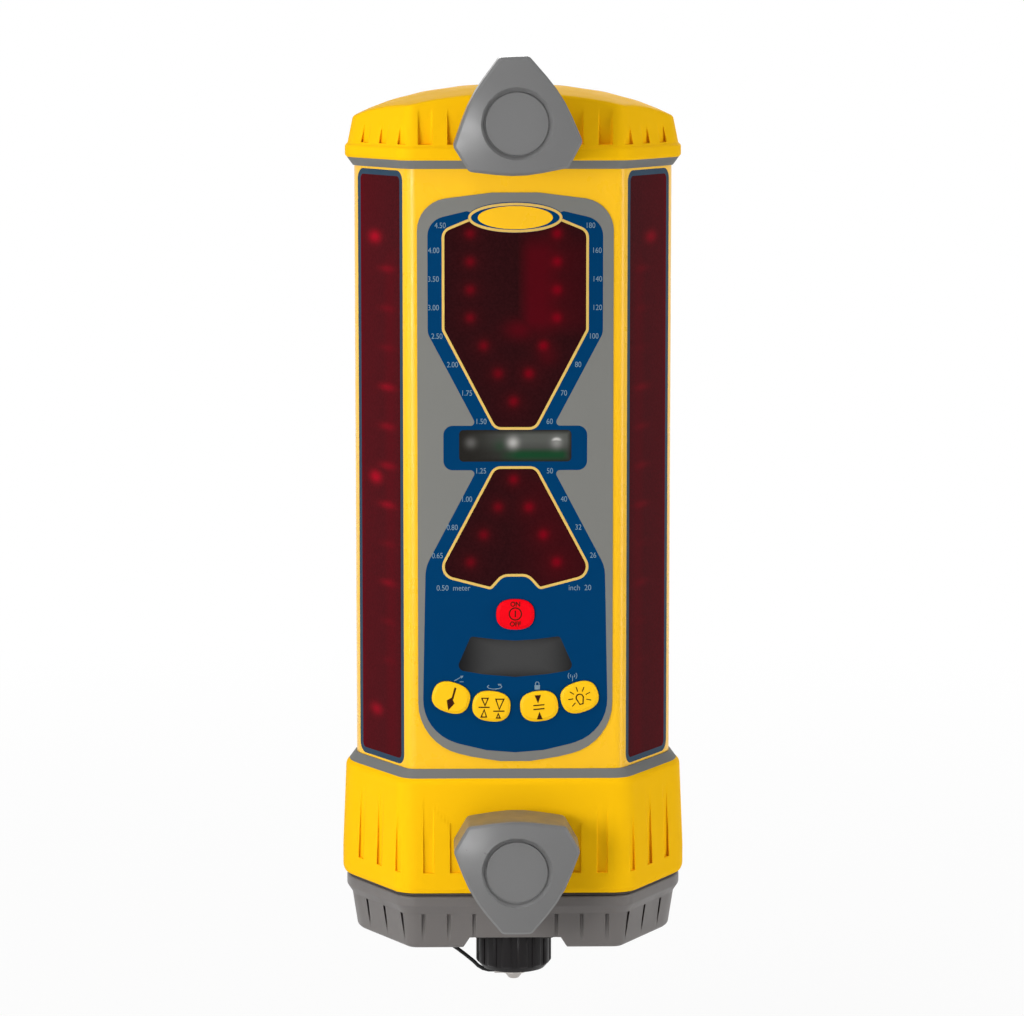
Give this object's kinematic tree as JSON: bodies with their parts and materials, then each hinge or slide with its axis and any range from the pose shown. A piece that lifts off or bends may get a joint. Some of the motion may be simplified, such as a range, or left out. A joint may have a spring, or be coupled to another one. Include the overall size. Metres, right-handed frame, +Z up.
{
  "type": "laser receiver",
  "caption": "Mast-mounted laser receiver: a bevelled yellow tube with red light windows, an hourglass display panel, screw clamps behind and a capped connector below.",
  "frame": {"origin": "on the axis of the clamped mast, level with the on-grade mark", "axes": "+Z up along the mast, front of the receiver towards -Y, +X to the right seen from the front"},
  "size_m": [0.142, 0.1608, 0.3818],
  "materials": {
    "housing_yellow": "moulded, fine grain",
    "gasket_grey": "matt",
    "base_grey": "moulded, fine grain",
    "seal_black": "matt",
    "window_red": "translucent, smooth",
    "window_blue": "smooth",
    "panel_grey": "satin overlay",
    "film_blue": "satin overlay",
    "lens_red": "translucent, smooth",
    "lens_smoke": "translucent, smooth",
    "lcd_dark": "smooth",
    "key_red": "satin",
    "key_yellow": "satin",
    "board_green": "solder mask",
    "led_red": "clear tint",
    "led_clear": "clear",
    "part_black": "moulded",
    "cell_sleeve": "printed sleeve",
    "steel": "zinc plated",
    "knob_grey": "moulded, satin",
    "clamp_metal": "painted casting",
    "connector_black": "moulded",
    "pin_gold": "plated",
    "tether_black": "smooth"
  },
  "bodies": {
    "receiver": {"main_housing": "housing_yellow", "top_gasket": "gasket_grey", "bottom_gasket": "gasket_grey", "top_cap": "housing_yellow", "bottom_collar": "housing_yellow", "base_seal": "gasket_grey", "base": "base_grey", "front_left_window": "window_red", "front_right_window": "window_red", "rear_left_window": "window_red", "rear_right_window": "window_red", "window_seals": "window_blue", "panel_plate": "panel_grey", "panel_film": "film_blue", "upper_lens": "lens_red", "lower_lens": "lens_red", "grade_lens": "lens_smoke", "lcd_lens": "lcd_dark", "display_board": "board_green", "red_leds": "led_red", "grade_leds": "led_clear", "key_switches": "part_black", "lcd_module": "part_black", "photocell_boards": "board_green", "photocells": "part_black", "battery_cradle": "part_black", "battery_cells": "cell_sleeve", "control_board": "board_green", "m3_screws": "steel", "tie_rods": "steel", "clamp_covers": "steel", "thrust_washers": "steel", "connector_shell": "connector_black", "connector_insert": "part_black", "connector_pins": "pin_gold", "tether": "tether_black", "tether_anchor": "steel"},
    "upper_knob": {"upper_knob": "knob_grey", "upper_knob_plug": "knob_grey", "upper_clamp_screw": "steel", "upper_retaining_ring": "steel"},
    "upper_jaw": {"upper_jaw": "clamp_metal", "upper_crossbar": "steel", "upper_jaw_screws": "steel"},
    "lower_knob": {"lower_knob": "knob_grey", "lower_knob_plug": "knob_grey", "lower_clamp_screw": "steel", "lower_retaining_ring": "steel"},
    "lower_jaw": {"lower_jaw": "clamp_metal", "lower_crossbar": "steel", "lower_jaw_screws": "steel"},
    "power_key": {"power_key": "key_red"},
    "grade_key": {"grade_key": "key_yellow"},
    "deadband_key": {"deadband_key": "key_yellow"},
    "offset_key": {"offset_key": "key_yellow"},
    "lamp_key": {"lamp_key": "key_yellow"},
    "cap_pivot": {"dust_cap_screw": "steel", "tether_eyelet": "steel"},
    "dust_cap": {"dust_cap": "connector_black", "dust_cap_seal": "seal_black"}
  },
  "joints": [
    {"name": "upper_knob_turn", "type": "hinge", "parent": "receiver", "child": "upper_knob", "pos_m": [0, -0.0982, 0.1299], "axis": [0, 1, 0], "range_deg": [-720, 1080]},
    {"name": "upper_jaw_slide", "type": "slide", "parent": "receiver", "child": "upper_jaw", "axis": [0, -1, 0], "range_m": [-0.006, 0.009]},
    {"name": "lower_knob_turn", "type": "hinge", "parent": "receiver", "child": "lower_knob", "pos_m": [0, -0.0982, -0.1672], "axis": [0, 1, 0], "range_deg": [-720, 1080]},
    {"name": "lower_jaw_slide", "type": "slide", "parent": "receiver", "child": "lower_jaw", "axis": [0, -1, 0], "range_m": [-0.006, 0.009]},
    {"name": "power_key_press", "type": "slide", "parent": "receiver", "child": "power_key", "axis": [0, 1, 0], "range_m": [0, 0.0008], "stiffness_N_per_m": 600},
    {"name": "grade_key_press", "type": "slide", "parent": "receiver", "child": "grade_key", "axis": [0, 1, 0], "range_m": [0, 0.0008], "stiffness_N_per_m": 600},
    {"name": "deadband_key_press", "type": "slide", "parent": "receiver", "child": "deadband_key", "axis": [0, 1, 0], "range_m": [0, 0.0008], "stiffness_N_per_m": 600},
    {"name": "offset_key_press", "type": "slide", "parent": "receiver", "child": "offset_key", "axis": [0, 1, 0], "range_m": [0, 0.0008], "stiffness_N_per_m": 600},
    {"name": "lamp_key_press", "type": "slide", "parent": "receiver", "child": "lamp_key", "axis": [0, 1, 0], "range_m": [0, 0.0008], "stiffness_N_per_m": 600},
    {"name": "cap_pivot_slide", "type": "slide", "parent": "receiver", "child": "cap_pivot", "axis": [0, 0, -1], "range_m": [0, 0.015], "deforming": ["tether"]},
    {"name": "dust_cap_turn", "type": "hinge", "parent": "cap_pivot", "child": "dust_cap", "pos_m": [0, -0.059, -0.212], "axis": [0, 0, -1], "range_deg": [0, 2160]}
  ],
  "couplings": [
    {"joint": "upper_knob_turn", "follows": "upper_jaw_slide", "rad_per_m": 2094.4},
    {"joint": "lower_knob_turn", "follows": "lower_jaw_slide", "rad_per_m": 2094.4},
    {"joint": "dust_cap_turn", "follows": "cap_pivot_slide", "rad_per_m": 2513.3}
  ]
}
